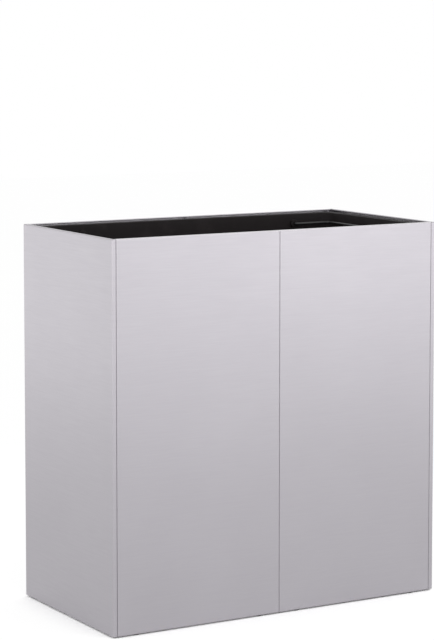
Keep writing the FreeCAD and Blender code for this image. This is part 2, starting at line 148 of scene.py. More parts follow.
# %% [markdown]
# ## Satin stainless sheet
#
# The panels are austenitic stainless, ground on a belt to a satin finish. The grit leaves fine
# scratches all in one direction, here level, so a light is drawn out upright into a soft band and
# the sheet shows no sharp reflection. An anisotropic metal gives that. The grain itself is noise
# that is long along the sheet and short across it. Broad clouds from handling vary the tone a
# little. Two attributes of the mesh's points come in: grain_line is the direction of the
# scratches, which turns with the sheet where it is folded, and the other is 1 along the rim. There
# the sheet is paler and glossier, partly from the polish of hands and partly as a painted
# highlight for the bright line along the lit rim.

# %% Satin stainless
GRAIN_LENGTH = 60 * MM
GRAIN_SPACING = 1.0 * MM  # real grit lines are 0.1 mm apart, and would not show
GRAIN_DEPTH = 0.012 * MM
CLOUD_SIZE = 220 * MM


def satin_stainless():
    """Belt-ground stainless sheet with level grain."""
    material, tree, place = new_material("satin_ground_stainless")
    grain_scale = (1 / GRAIN_LENGTH, 1 / GRAIN_LENGTH, 1 / GRAIN_SPACING)
    grain_place = add_node(
        tree, "ShaderNodeMapping", {"Vector": place, "Scale": grain_scale}, vector_type="POINT"
    )
    grain = add_node(
        tree, "ShaderNodeTexNoise",
        {"Vector": grain_place.outputs["Vector"], "Scale": 1.0, "Detail": 4.0, "Roughness": 0.6},
    )
    cloud = add_node(
        tree, "ShaderNodeTexNoise",
        {"Vector": place, "Scale": 1 / CLOUD_SIZE, "Detail": 3.0, "Roughness": 0.5},
    )
    # The rim's mark is paler and glossier, partly from the polish of hands and partly as a painted
    # highlight.
    rubbed_and_highlit = add_node(tree, "ShaderNodeAttribute", attribute_name="rubbed_and_highlit").outputs["Fac"]
    grain_line = add_node(tree, "ShaderNodeAttribute", attribute_name="grain_line")
    sheet_tone = add_node(
        tree, "ShaderNodeMix",
        {"Factor": cloud.outputs["Fac"], "A": linear("#A3A0A5"), "B": linear("#A9A6AB")},
        data_type="RGBA",
    )
    grain_tone = add_node(
        tree, "ShaderNodeMapRange",
        {"Value": grain.outputs["Fac"], **NOISE_SPAN, "To Min": 0.0, "To Max": 0.16},
    )
    toned = add_node(
        tree, "ShaderNodeMix",
        {"Factor": grain_tone.outputs["Result"], "A": sheet_tone.outputs["Result"],
         "B": linear("#98959B")},
        data_type="RGBA",
    )
    # Towards the rim the colour turns much paler: part real polish, part painted highlight.
    worn_and_highlit = add_node(
        tree, "ShaderNodeMix",
        {"Factor": rubbed_and_highlit, "A": toned.outputs["Result"], "B": linear("#DAD8DB")},
        data_type="RGBA",
    )
    ground = add_node(
        tree, "ShaderNodeMapRange",
        {"Value": grain.outputs["Fac"], **NOISE_SPAN, "To Min": 0.36, "To Max": 0.44},
    )
    gloss = add_node(
        tree, "ShaderNodeMix",
        {"Factor": rubbed_and_highlit, "A": ground.outputs["Result"], "B": 0.28}, data_type="FLOAT",
    )
    grain_bump = add_node(
        tree, "ShaderNodeBump",
        {"Height": grain.outputs["Fac"], "Strength": 0.5, "Distance": GRAIN_DEPTH},
    )
    shader = add_node(
        tree, "ShaderNodeBsdfPrincipled",
        {"Base Color": worn_and_highlit.outputs["Result"], "Metallic": 1.0, "Roughness": gloss.outputs["Result"],
         "Anisotropic": 0.65, "Anisotropic Rotation": 0.25, "Tangent": grain_line.outputs["Vector"],
         "Normal": grain_bump.outputs["Normal"]},
    )
    add_node(tree, "ShaderNodeOutputMaterial", {"Surface": shader.outputs["BSDF"]})
    return material


# Ground stainless is a pale grey, blurred mirror that smears every light upright.
stainless = satin_stainless()
print("made", stainless.name)

# %% [markdown]
# ## Galvanised steel
#
# The bearers and the floor plate are hidden, so they are plain steel dipped in zinc. The zinc
# freezes into flat crystals a few millimetres wide, each turned its own way, which shows as
# spangle. A Voronoi pattern gives one random value to each cell, and that value sets the cell's
# tone and gloss.

# %% Galvanised steel
SPANGLE = 9 * MM
FROST_SIZE = SPANGLE / 4
FROST_DEPTH = 0.05 * MM


def galvanised_steel():
    """Hot-dip zinc with its spangle."""
    material, tree, place = new_material("hot_dip_galvanised_steel")
    spangle = add_node(
        tree, "ShaderNodeTexVoronoi", {"Vector": place, "Scale": 1 / SPANGLE, "Randomness": 1.0}
    )
    frost = add_node(
        tree, "ShaderNodeTexNoise", {"Vector": place, "Scale": 1 / FROST_SIZE, "Detail": 4.0}
    )
    crystal = add_node(tree, "ShaderNodeSeparateColor", {"Color": spangle.outputs["Color"]})
    mixed = add_node(
        tree, "ShaderNodeMath",
        {0: crystal.outputs["Red"], 1: frost.outputs["Fac"]}, operation="MULTIPLY",
    )
    tone = add_node(
        tree, "ShaderNodeMix",
        {"Factor": mixed.outputs["Value"], "A": linear("#8F9498"), "B": linear("#C6CACC")},
        data_type="RGBA",
    )
    gloss = add_node(
        tree, "ShaderNodeMapRange",
        {"Value": crystal.outputs["Green"], "To Min": 0.38, "To Max": 0.56},
    )
    frost_bump = add_node(
        tree, "ShaderNodeBump",
        {"Height": frost.outputs["Fac"], "Strength": 0.3, "Distance": FROST_DEPTH},
    )
    shader = add_node(
        tree, "ShaderNodeBsdfPrincipled",
        {"Base Color": tone.outputs["Result"], "Metallic": 1.0, "Roughness": gloss.outputs["Result"],
         "Normal": frost_bump.outputs["Normal"]},
    )
    add_node(tree, "ShaderNodeOutputMaterial", {"Surface": shader.outputs["BSDF"]})
    return material


# Dipped zinc is a dull blue-grey, broken into flat patches that catch the light differently.
galvanised = galvanised_steel()
print("made", galvanised.name)

# %% [markdown]
# ## Zinc-plated hardware
#
# Screws and nuts are cold-forged steel with a thin bright zinc plating, passivated to a faint
# blue. It is smoother than dipped zinc and has no spangle, only a fine mottle from the plating
# barrel.

# %% Zinc plating
MOTTLE_WIDTH = 1.2 * MM
MOTTLE_DEPTH = 0.03 * MM


def zinc_plating():
    """Bright zinc, passivated slightly blue."""
    material, tree, place = new_material("bright_zinc_plating")
    mottle = add_node(
        tree, "ShaderNodeTexNoise", {"Vector": place, "Scale": 1 / MOTTLE_WIDTH, "Detail": 5.0}
    ).outputs["Fac"]
    tone = add_node(
        tree, "ShaderNodeMix",
        {"Factor": mottle, "A": linear("#A9AFB6"), "B": linear("#C9CDD2")}, data_type="RGBA",
    )
    gloss = add_node(
        tree, "ShaderNodeMapRange", {"Value": mottle, "To Min": 0.24, "To Max": 0.40}
    )
    mottle_bump = add_node(
        tree, "ShaderNodeBump", {"Height": mottle, "Strength": 0.25, "Distance": MOTTLE_DEPTH}
    )
    shader = add_node(
        tree, "ShaderNodeBsdfPrincipled",
        {"Base Color": tone.outputs["Result"], "Metallic": 1.0, "Roughness": gloss.outputs["Result"],
         "Normal": mottle_bump.outputs["Normal"]},
    )
    add_node(tree, "ShaderNodeOutputMaterial", {"Surface": shader.outputs["BSDF"]})
    return material


# Plated zinc is brighter and smoother than dipped zinc, with a cold blue tinge.
zinc = zinc_plating()
print("made", zinc.name)

# %% [markdown]
# ## Black plastics
#
# Three black plastics differ by how they were formed. The liner is moulded polypropylene with an
# eroded grain from its mould, rubbed a little pale where it scrapes. The glides are smooth
# moulded nylon. The bails are wire dipped in soft vinyl, which sets with a slight orange peel.
# One function holds what they share, a fine grain that gives bump and broad scuffs that change
# tone and gloss, and each is named for its own plastic.

# %% Black plastics
def black_plastic(name, dark, pale, grain_size, grain_depth, gloss_range, scuff_size, shine=0.5):
    """A black plastic with a surface grain and faint pale scuffs."""
    material, tree, place = new_material(name)
    grain = add_node(
        tree, "ShaderNodeTexNoise", {"Vector": place, "Scale": 1 / grain_size, "Detail": 3.0}
    )
    scuff = add_node(
        tree, "ShaderNodeTexNoise",
        {"Vector": place, "Scale": 1 / scuff_size, "Detail": 6.0, "Roughness": 0.65},
    )
    scuffed = add_node(
        tree, "ShaderNodeMapRange",
        {"Value": scuff.outputs["Fac"], "From Min": 0.52, "From Max": 0.78},
    )
    tone = add_node(
        tree, "ShaderNodeMix",
        {"Factor": scuffed.outputs["Result"], "A": linear(dark), "B": linear(pale)},
        data_type="RGBA",
    )
    gloss = add_node(
        tree, "ShaderNodeMapRange",
        {"Value": scuff.outputs["Fac"], **NOISE_SPAN,
         "To Min": gloss_range[0], "To Max": gloss_range[1]},
    )
    grained = add_node(
        tree, "ShaderNodeBump",
        {"Height": grain.outputs["Fac"], "Strength": 0.6, "Distance": grain_depth},
    )
    shader = add_node(
        tree, "ShaderNodeBsdfPrincipled",
        {"Base Color": tone.outputs["Result"], "Roughness": gloss.outputs["Result"], "IOR": 1.49,
         "Specular IOR Level": shine, "Normal": grained.outputs["Normal"]},
    )
    add_node(tree, "ShaderNodeOutputMaterial", {"Surface": shader.outputs["BSDF"]})
    return material


# Mould-eroded polypropylene is matt and dark grey-black, with hazy scuffs.
liner_plastic = black_plastic(
    "moulded_black_polypropylene", dark="#191516", pale="#2A2526", grain_size=1.1 * MM,
    grain_depth=0.12 * MM, gloss_range=(0.60, 0.76), scuff_size=90 * MM, shine=0.16,
)
# Moulded nylon is denser black and smoother, with a soft sheen.
glide_plastic = black_plastic(
    "moulded_black_nylon", dark="#161617", pale="#2A2A2B", grain_size=0.6 * MM,
    grain_depth=0.03 * MM, gloss_range=(0.34, 0.48), scuff_size=8 * MM,
)
# Dipped vinyl is smooth and a little glossy, with a low orange peel.
bail_coating = black_plastic(
    "dipped_black_vinyl", dark="#141415", pale="#242425", grain_size=2.6 * MM,
    grain_depth=0.06 * MM, gloss_range=(0.26, 0.38), scuff_size=20 * MM,
)
print("made", liner_plastic.name, glide_plastic.name, bail_coating.name)

# %% [markdown]
# ## From mesh to finished piece
#
# Every new piece stands for one node of the frame. It is shaded smooth with its real edges kept
# sharp, gets its finish, rides on the body that the node belongs to, and hides the node.

# %% Finish a piece
SHARP_ANGLE = math.radians(32)

body_of_node = {
    node: body
    for body, nodes in frame["record"]["behaviour"]["bodies"].items()
    for node in nodes
}


def new_object(name, data):
    """A new object in the scene, at the origin."""
    made = bpy.data.objects.new(name, data)
    bpy.context.scene.collection.objects.link(made)
    return made


def finish_piece(node, mesh, material):
    """The mesh as a piece in place of a node."""
    mesh.materials.clear()
    mesh.materials.append(material)
    mesh.shade_smooth()
    mesh.set_sharp_from_angle(angle=SHARP_ANGLE)
    piece = new_object(node + "_finished", mesh)
    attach(piece, body_of_node[node])
    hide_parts(node)
    print(piece.name, len(mesh.polygons), "faces")


# %% [markdown]
# Modifiers do part of the shaping. They run on a carrier, an object that lives only until its
# evaluated mesh has been copied out, so the finished pieces are plain meshes.

# %% Modifiers on a carrier
def plain_mesh(carrier):
    """The evaluated mesh of a carrier, which is then removed."""
    graph = bpy.context.evaluated_depsgraph_get()
    mesh = bpy.data.meshes.new_from_object(carrier.evaluated_get(graph))
    bpy.data.objects.remove(carrier)
    return mesh


def with_modifiers(mesh, *modifiers):
    """A plain mesh from a mesh and a list of (kind, settings) modifiers."""
    carrier = new_object("carrier", mesh)
    for kind, settings in modifiers:
        modifier = carrier.modifiers.new(kind.lower(), kind)
        for name, value in settings.items():
            setattr(modifier, name, value)
    return plain_mesh(carrier)


def closed_mesh(name, build):
    """A mesh from a bmesh that is done, and is freed."""
    mesh = bpy.data.meshes.new(name)
    build.to_mesh(mesh)
    build.free()
    return mesh


print("carriers give plain meshes")

# %% [markdown]
# ## Folding a panel
#
# A press brake folds a flat blank along straight lines, so a panel is flats joined by
# quarter-round folds, with a welded and ground ball where two folds meet. It could be a box with
# a bevel, but the hem and the mitres would be lost. Here each flat and each fold is a small grid
# of points on the outer face, the grids are merged where they meet, and Solidify gives the sheet
# its gauge inwards.
#
# Each step round a fold has some way left to go along one axis and some way gone along the other.
# Such pairs draw every other quarter round of the planter too.

# %% Steps along a flat and round a fold
FOLD_STEPS = 6
SUPPORT = 0.8 * MM


def even(start, end, count):
    """Evenly spaced values from start to end."""
    return [start + (end - start) * step / count for step in range(count + 1)]


def between_folds(start, end, count):
    """Evenly spaced values with one more close to each end, which keeps a flat's shading flat."""
    return [start, *even(start + SUPPORT, end - SUPPORT, count), end]


quarter = even(0.0, math.pi / 2, FOLD_STEPS)


def quarter_round(radius):
    """Steps of a quarter round: the way left along one axis and the way gone along the other."""
    return [(radius * (1 - math.sin(a)), radius * (1 - math.cos(a))) for a in quarter]


print("a fold is", FOLD_STEPS, "faces round")

# %% [markdown]
# The rows of points have the same heights on every flat, flange and fold, so that all of them
# merge. Two more heights belong to the flanges, whose heads are cut back for the hem and the
# liner's rim. A grid also carries the two attributes that the satin finish reads.

# %% Grids of points
FACE_ROWS = 24
LINER_SKIRT = 7.0 * MM
RIM_NOTCH = 3.0 * MM
HEM_CLEARANCE = 0.5 * MM

liner_low, liner_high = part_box("planting_liner")
flange_notch_z = liner_high.z - LINER_SKIRT - RIM_NOTCH
flange_top_z = rim_z - HEM_HEIGHT - HEM_CLEARANCE
flange_setback = half_depth - liner_high.y - RIM_NOTCH
upright_z = sorted(
    between_folds(sole_z + FOLD, rim_z - FOLD, FACE_ROWS) + [flange_notch_z, flange_top_z]
)


def add_grid(sheet, rows, grain, wear_highlight=None):
    """Faces over rows of points. grain is the scratches' direction by column; the last argument, the
    rim's wear and painted highlight, is by row.
    """
    wear_highlight_layer = sheet.verts.layers.float["rubbed_and_highlit"]
    grain_layer = sheet.verts.layers.float_vector["grain_line"]
    lines = []
    for row, rubbed_and_highlit in zip(rows, wear_highlight or [0.0] * len(rows)):
        line = [sheet.verts.new(point) for point in row]
        for vertex, direction in zip(line, grain):
            vertex[wear_highlight_layer] = rubbed_and_highlit
            vertex[grain_layer] = direction
        lines.append(line)
    for low, high in zip(lines, lines[1:]):
        for index in range(len(low) - 1):
            sheet.faces.new((low[index], low[index + 1], high[index + 1], high[index]))


print(len(upright_z), "rows up a face")

# %% [markdown]
# The rim is a flat lip with its raw edge folded back underneath, and the sole is a plain flat.
# Both are paths of depth and height that are drawn along the face and clipped by the mitres at
# its ends. The short returns of the end panels carry only small tabs in their place.

# %% Paths of the rim and the sole
def hemmed_lip():
    """Depth and height along the lip, round its hem and back underneath."""
    under_z = rim_z - HEM_HEIGHT
    hem_start = LIP_WIDTH - HEM_RADIUS - SUPPORT
    path = [(depth, rim_z) for depth in (FOLD, FOLD + SUPPORT, hem_start)]
    path += [(LIP_WIDTH - left, rim_z - gone) for left, gone in quarter_round(HEM_RADIUS)]
    path += [(LIP_WIDTH - gone, under_z + left) for left, gone in quarter_round(HEM_RADIUS)]
    return path + [(LIP_WIDTH - HEM_LENGTH, under_z)]


tab_reach = corner_return - SEAM_GAP - MITRE_STEP
rim_tab_depths = (FOLD, FOLD + SUPPORT, LIP_WIDTH)
sole_tab_depths = (FOLD, FOLD + SUPPORT, tab_reach)
sole_depths = (FOLD, FOLD + SUPPORT, corner_return, SOLE_WIDTH)
rim_paths = {"face": hemmed_lip(), "return": [(depth, rim_z) for depth in rim_tab_depths]}
sole_paths = {
    "face": [(depth, sole_z) for depth in sole_depths],
    "return": [(depth, sole_z) for depth in sole_tab_depths],
}
print("rim path of", len(rim_paths["face"]), "points")

# %% [markdown]
# Large flat sheet is never quite flat: it dishes inwards by a fraction of a millimetre between
# its stiff folds, and that is what makes its reflections swim a little. The faces get such a
# dish, and the narrow returns don't. How rubbed the rim is, and so how strong its painted
# highlight is, goes to each row of points as its wear.

# %% A flat with its rim and sole
DISH = {"face": 0.4 * MM, "return": 0.0}
COLUMNS = {"face": 12, "return": 2}
WEAR_HIGHLIGHT_WIDTH = corner_return - FOLD

# Across the rim's fold, the wear and its painted highlight grow to full at the crest.
fold_wear_highlight = [math.sin(angle) for angle in quarter]
edge_folds = ((rim_z, -1, fold_wear_highlight), (sole_z, 1, None))


def lip_wear_highlight(path):
    """How rubbed the lip is along its path, which also sets its painted highlight: fully at the fold,
    and less and less inwards.
    """
    return [max(0.0, 1 - (depth - FOLD) / WEAR_HIGHLIGHT_WIDTH) for depth, z in path]


def add_face(sheet, start, along, inward, length, kind, limits):
    """A flat between two folds, with its rim fold, lip, sole fold and sole."""
    low_limit, high_limit = limits
    columns = between_folds(FOLD, length - FOLD, COLUMNS[kind])
    face_height = rim_z - sole_z - 2 * FOLD

    def dished(s, z):
        across = math.sin(math.pi * (s - FOLD) / (length - 2 * FOLD))
        upward = math.sin(math.pi * (z - sole_z - FOLD) / face_height)
        return DISH[kind] * max(across, 0.0) * max(upward, 0.0)

    def point(s, depth, z):
        return start + along * s + inward * depth + Z * z

    ends = [min(low_limit(FOLD), FOLD), *columns, max(high_limit(FOLD), length - FOLD)]
    grain = [along] * len(ends)
    add_grid(sheet, [[point(s, dished(s, z), z) for s in columns] for z in upright_z], grain)
    for edge_z, towards, wear_highlight in edge_folds:
        rows = [[point(s, gone, edge_z + towards * left) for s in columns]
                for left, gone in quarter_round(FOLD)]
        add_grid(sheet, rows, grain, wear_highlight)
    for path, wear_highlight in ((rim_paths[kind], lip_wear_highlight(rim_paths[kind])), (sole_paths[kind], None)):
        rows = []
        for depth, z in path:
            low = low_limit(depth)
            high = high_limit(depth)
            clipped = [min(max(s, low), high) if depth > FOLD else s for s in ends]
            rows.append([point(s, depth, z) for s in clipped])
        add_grid(sheet, rows, grain, wear_highlight)


print("a face dishes by", round(DISH["face"] / MM, 2), "mm")

# %% [markdown]
# A joint flange turns inwards behind each seam and takes the screws. The upright folds join flats
# and flanges, and a ball closes each of them at the rim and at the sole, where a real corner is
# welded and ground.

# %% Flanges and upright folds
def add_flange(sheet, corner, inward, along):
    """A joint flange behind a seam, with its head cut back for the hem and the liner's rim."""
    depths = (FOLD, FOLD + SUPPORT, flange_setback, flange_depth)
    full = [corner + inward * depth for depth in depths]
    low_rows = [z for z in upright_z if z <= flange_notch_z]
    high_rows = [z for z in upright_z if flange_notch_z <= z <= flange_top_z]
    grain = [along] * len(full)
    add_grid(sheet, [[place + Z * z for place in full] for z in low_rows], grain)
    add_grid(sheet, [[place + Z * z for place in full[:-1]] for z in high_rows], grain)


def add_corner(sheet, corner, before, after):
    """An upright fold between two flats, closed by a ground ball at its top and bottom."""
    centre = corner + (before + after) * FOLD
    spokes = [-(before * math.cos(angle) + after * math.sin(angle)) for angle in quarter]
    grain = [before * math.sin(angle) - after * math.cos(angle) for angle in quarter]
    add_grid(sheet, [[centre + spoke * FOLD + Z * z for spoke in spokes] for z in upright_z], grain)
    for edge_z, towards, wear_highlight in edge_folds:
        rows = [[centre + spoke * (FOLD - gone) + Z * (edge_z + towards * left) for spoke in spokes]
                for left, gone in quarter_round(FOLD)]
        add_grid(sheet, rows, grain, wear_highlight)


print("flanges are cut back above", round(flange_notch_z / MM), "mm")

# %% [markdown]
# A panel is drawn in plan as a line of corners, with the inside of the planter to the left: a
# flange, the faces, and a flange again. After the grids are merged, one face in the middle of the
# panel tells whether the normals point outwards, and the sheet is turned round if they don't,
# because Solidify thickens against them.

# %% A whole panel from its plan
MERGE_DISTANCE = 0.01 * MM


def folded_panel(plan, faces, turn, place, wear_highlight_share=1.0):
    """A panel from its plan corners. faces has the kind and the end limits of each flat."""
    sheet = bmesh.new()
    sheet.verts.layers.float.new("rubbed_and_highlit")
    sheet.verts.layers.float_vector.new("grain_line")
    spot = Matrix.Translation((*place, 0)) @ Matrix.Rotation(math.radians(turn), 4, "Z")
    corners = [spot @ Vector((x, y, 0)) for x, y in plan]
    steps = [end - start for start, end in zip(corners, corners[1:])]
    alongs = [step.normalized() for step in steps]
    inwards = [Vector((-along.y, along.x, 0)) for along in alongs]
    add_flange(sheet, corners[1], -alongs[0], alongs[0])
    add_flange(sheet, corners[-2], alongs[-1], alongs[-1])
    for index, (kind, limits) in enumerate(faces, start=1):
        length = steps[index].length
        add_face(sheet, corners[index], alongs[index], inwards[index], length, kind, limits)
    for index in range(1, len(corners) - 1):
        add_corner(sheet, corners[index], inwards[index - 1], inwards[index])
    bmesh.ops.remove_doubles(sheet, verts=sheet.verts, dist=MERGE_DISTANCE)
    # Each panel takes its own share of the rim's wear and painted highlight.
    wear_highlight_layer = sheet.verts.layers.float["rubbed_and_highlit"]
    for vertex in sheet.verts:
        vertex[wear_highlight_layer] *= wear_highlight_share
    bmesh.ops.recalc_face_normals(sheet, faces=sheet.faces)
    broad = max(sheet.faces, key=lambda face: face.calc_area())
    middle = (len(faces) + 1) // 2
    if broad.normal.dot(inwards[middle]) > 0:
        bmesh.ops.reverse_faces(sheet, faces=sheet.faces)
    gauge = {"thickness": SHEET, "offset": -1.0, "use_even_offset": True}
    return with_modifiers(closed_mesh("folded_sheet", sheet), ("SOLIDIFY", gauge))


print("panels are folded from", round(SHEET / MM, 1), "mm sheet")

# %% [markdown]
# ## The six panels
#
# The four flat panels are plain trays. At a corner of the planter their lip and sole are mitred
# against the end panel's. The end panels run round both corners before they turn in to their
# flanges.

# %% Front and back panels
def mitred(depth):
    """Where a side panel's lip or sole starts at a mitred end, measured along the panel."""
    return max(SEAM_GAP, depth - corner_return + MITRE_STEP)


def side_panel(corner_at_start, turn, place):
    """A front or back panel, mitred at the end that meets a corner of the planter."""
    plan = [(0, flange_depth), (0, 0), (panel_width, 0), (panel_width, flange_depth)]
    if corner_at_start:
        limits = (mitred, lambda depth: panel_width - SEAM_GAP)
    else:
        limits = (lambda depth: SEAM_GAP, lambda depth: panel_width - mitred(depth))
    return folded_panel(plan, [("face", limits)], turn, place)


side_places = {
    "front_left_panel": (True, 0, (-panel_width, -half_depth)),
    "front_right_panel": (False, 0, (0, -half_depth)),
    "back_right_panel": (True, 180, (panel_width, half_depth)),
    "back_left_panel": (False, 180, (0, half_depth)),
}
for node, (corner_at_start, turn, place) in side_places.items():
    finish_piece(node, side_panel(corner_at_start, turn, place), stainless)

# %% [markdown]
# The end panel's line has five flats: a flange, the short return on the long side, the end
# itself, and the same again. Hands rest on the long sides, so the rim of the ends is rubbed much
# less, and the ends' rim gets much less of the painted highlight too.

# %% End panels
# The ends' rim takes a small share of the wear and of the painted highlight.
END_WEAR_HIGHLIGHT_SHARE = 0.15


def end_panel(turn, place):
    """A panel across one end that wraps round both corners."""
    depth = 2 * half_depth
    plan = [
        (flange_depth, corner_return), (0, corner_return), (0, 0),
        (depth, 0), (depth, corner_return), (depth - flange_depth, corner_return),
    ]
    first_return = (lambda d: SEAM_GAP, lambda d: corner_return - d - MITRE_STEP)
    across = (lambda d: d + MITRE_STEP, lambda d: depth - d - MITRE_STEP)
    last_return = (lambda d: d + MITRE_STEP, lambda d: corner_return - SEAM_GAP)
    faces = [("return", first_return), ("face", across), ("return", last_return)]
    return folded_panel(plan, faces, turn, place, END_WEAR_HIGHLIGHT_SHARE)


end_places = {
    "left_end_panel": (-90, (-half_width, half_depth)),
    "right_end_panel": (90, (half_width, -half_depth)),
}
for node, (turn, place) in end_places.items():
    finish_piece(node, end_panel(turn, place), stainless)

# %% [markdown]
# ## Floor plate and cross bearers
#
# These are flat and folded steel, and the solids already have every edge, hole and fold that the
# eye can find. They stay as they are and only take the galvanised finish.

# %% Galvanise the steel that stays
for node in ("floor_plate", "left_cross_bearer", "centre_cross_bearer", "right_cross_bearer"):
    for slot in frame["nodes"][node].material_slots:
        slot.material = galvanised
    print(node, "galvanised")

# %% [markdown]
# ## Geometry Nodes: a wire along a path
#
# The bails are bent round wire, and the liner's outer ribs are half-round beads. Both are a round
# section that follows a line. The tree takes a mesh of edges, turns it into a curve, rounds its
# corners to the bending radius and sweeps a circle along it. Its sizes are inputs, so one tree
# serves both.

# %% Tree: wire along a path
def new_tree(name, inputs):
    """A Geometry Nodes tree with a geometry in and out, and named inputs of given socket types."""
    tree = bpy.data.node_groups.new(name, "GeometryNodeTree")
    tree.interface.new_socket("Geometry", in_out="INPUT", socket_type="NodeSocketGeometry")
    for label, kind in inputs.items():
        tree.interface.new_socket(label, in_out="INPUT", socket_type=kind)
    tree.interface.new_socket("Geometry", in_out="OUTPUT", socket_type="NodeSocketGeometry")
    return tree, add_node(tree, "NodeGroupInput").outputs


def close_tree(tree, geometry, material):
    """Ends a tree in real geometry with its material."""
    real = add_node(tree, "GeometryNodeRealizeInstances", {"Geometry": geometry})
    dressed = add_node(
        tree, "GeometryNodeSetMaterial",
        {"Geometry": real.outputs["Geometry"], "Material": material},
    )
    add_node(tree, "NodeGroupOutput", {"Geometry": dressed.outputs["Geometry"]})


def wire_tree():
    """A round wire along every line of edges, with its corners bent to a radius."""
    tree, given = new_tree("wire_along_path", {
        "Wire radius": "NodeSocketFloat", "Bend radius": "NodeSocketFloat",
        "Bend steps": "NodeSocketInt", "Sides": "NodeSocketInt", "Material": "NodeSocketMaterial",
    })
    line = add_node(tree, "GeometryNodeMeshToCurve", {"Mesh": given["Geometry"]})
    bent = add_node(
        tree, "GeometryNodeFilletCurve",
        {"Curve": line.outputs["Curve"], "Count": given["Bend steps"],
         "Radius": given["Bend radius"]},
        mode="POLY",
    )
    section = add_node(
        tree, "GeometryNodeCurvePrimitiveCircle",
        {"Resolution": given["Sides"], "Radius": given["Wire radius"]},
    )
    wire = add_node(
        tree, "GeometryNodeCurveToMesh",
        {"Curve": bent.outputs["Curve"], "Profile Curve": section.outputs["Curve"],
         "Fill Caps": True},
    )
    close_tree(tree, wire.outputs["Mesh"], given["Material"])
    return tree


wire_along_path = wire_tree()
print("tree", wire_along_path.name)

# %% [markdown]
# A tree runs as a modifier on a carrier mesh. Its inputs are set by their identifiers before the
# carrier is first evaluated, and the result is copied out as a plain mesh.

# %% Run a tree
def run_tree(tree, points, edges, values):
    """A plain mesh from a tree on a carrier of points and edges, with the tree's inputs by name."""
    mesh = bpy.data.meshes.new("carrier")
    mesh.from_pydata(points, edges, [])
    carrier = new_object("carrier", mesh)
    modifier = carrier.modifiers.new(tree.name, "NODES")
    modifier.node_group = tree
    for item in tree.interface.items_tree:
        if item.in_out == "INPUT" and item.name in values:
            modifier[item.identifier] = values[item.name]
    return plain_mesh(carrier)


print("trees run on a carrier mesh")

# %% [markdown]
# ## Bails
#
# Each bail is a wire bent four times, with its two ends sprung into bosses of the liner. The
# node's box gives the wire's thickness and how far it reaches, so the route is six corner points.

# %% Bails
BAIL_BEND = 9.0 * MM
BAIL_SHOULDER = 15.5 * MM
WIRE_SIDES = 24
BEND_STEPS = 10


def bail_route(node):
    """Corner points of a bail's wire, from one pin to the other, and the wire's radius."""
    low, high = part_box(node)
    radius = (high.z - low.z) / 2
    end = -1 if high.x < 0 else 1
    near = end * (min(abs(low.x), abs(high.x)) + radius)
    far = end * (max(abs(low.x), abs(high.x)) - radius)
    pin = high.y
    arm = pin - BAIL_SHOULDER
    plan = [(near, -pin), (near, -arm), (far, -arm), (far, arm), (near, arm), (near, pin)]
    return [Vector((x, y, (low.z + high.z) / 2)) for x, y in plan], radius


for node in ("left_bail", "right_bail"):
    route, wire_radius = bail_route(node)
    links = [(index, index + 1) for index in range(len(route) - 1)]
    wire = run_tree(wire_along_path, route, links, {
        "Wire radius": wire_radius, "Bend radius": BAIL_BEND, "Bend steps": BEND_STEPS,
        "Sides": WIRE_SIDES, "Material": bail_coating,
    })
    finish_piece(node, wire, bail_coating)

# %% [markdown]
# ## Skinning rings
#
# The liner, the screws, the nuts and the glides are all stacks of closed rings with a skin
# between them: rounded rectangles for the moulding, circles for what is turned. One function
# skins them all.

# %% Skin a stack of rings
def circle(radius, centre, first, second, sides):
    """A ring of points round a centre, in the plane of two unit directions."""
    angles = [2 * math.pi * step / sides for step in range(sides)]
    return [centre + (first * math.cos(a) + second * math.sin(a)) * radius for a in angles]


def skinned(rings, endless=False):
    """A closed mesh over a stack of rings, capped at both ends or joined end to end."""
    skin = bmesh.new()
    loops = [[skin.verts.new(point) for point in ring] for ring in rings]
    pairs = list(zip(loops, loops[1:]))
    if endless:
        pairs.append((loops[-1], loops[0]))
    else:
        skin.faces.new(loops[0])
        skin.faces.new(loops[-1])
    for low, high in pairs:
        for index in range(len(low)):
            after = (index + 1) % len(low)
            skin.faces.new((low[index], low[after], high[after], high[index]))
    bmesh.ops.recalc_face_normals(skin, faces=skin.faces)
    return closed_mesh("skin", skin)


print("rings are skinned")

# %% [markdown]
# What is welded on or drilled out is a skin of its own. Boolean modifiers put such solids
# together, as moulding and drilling do, and leave one closed mesh.

# %% Weld and drill
def joined(meshes):
    """Several meshes as one."""
    whole = bmesh.new()
    for mesh in meshes:
        whole.from_mesh(mesh)
    return closed_mesh("joined", whole)


def carved(mesh, added, removed):
    """A mesh with solid meshes added to it and others cut from it."""
    helpers = []
    steps = []
    for operation, meshes in (("UNION", added), ("DIFFERENCE", removed)):
        if meshes:
            helper = new_object("helper", joined(meshes))
            helpers.append(helper)
            steps.append(("BOOLEAN", {"operation": operation, "object": helper, "solver": "EXACT"}))
    result = with_modifiers(mesh, *steps)
    for helper in helpers:
        bpy.data.objects.remove(helper)
    return result


print("skins are joined and carved")

# %% [markdown]
# ## The liner
#
# The liner is one moulding: a tub with walls that lean out by two degrees so that it leaves its
# mould, a rim turned outwards and down, and a rounded floor. Its section is one line from the
# floor up the inside, over the rim, and down the outside to the floor again. Each point of that
# line becomes a rounded rectangle, and the skin between them is the moulding.

# %% Section of the liner
LINER_WALL = 3.0 * MM
LINER_RIM = 15.0 * MM
LINER_CORNER = 30.0 * MM
RIM_CORNER = 12.0 * MM
LINER_FLOOR_ROUND = 12.0 * MM
MOUTH_ROUND = 1.5 * MM
RIM_ROUND = 1.2 * MM
DRAFT = math.tan(math.radians(2))

liner_top = liner_high.z
skirt_z = liner_top - LINER_SKIRT
under_z = liner_top - LINER_WALL


def wall_inset(z, gap):
    """How far the wall stands in from the rim's edge at a height, plus a gap."""
    return LINER_RIM + (liner_top - z) * DRAFT + gap


def floor_round(floor_z, radius, gap):
    """The rounded edge between a floor and its wall, from the floor up."""
    rings = []
    for left, gone in quarter_round(radius):
        z = floor_z + gone
        rings.append((wall_inset(z, gap) + left, LINER_CORNER - gap - left, z))
    return rings


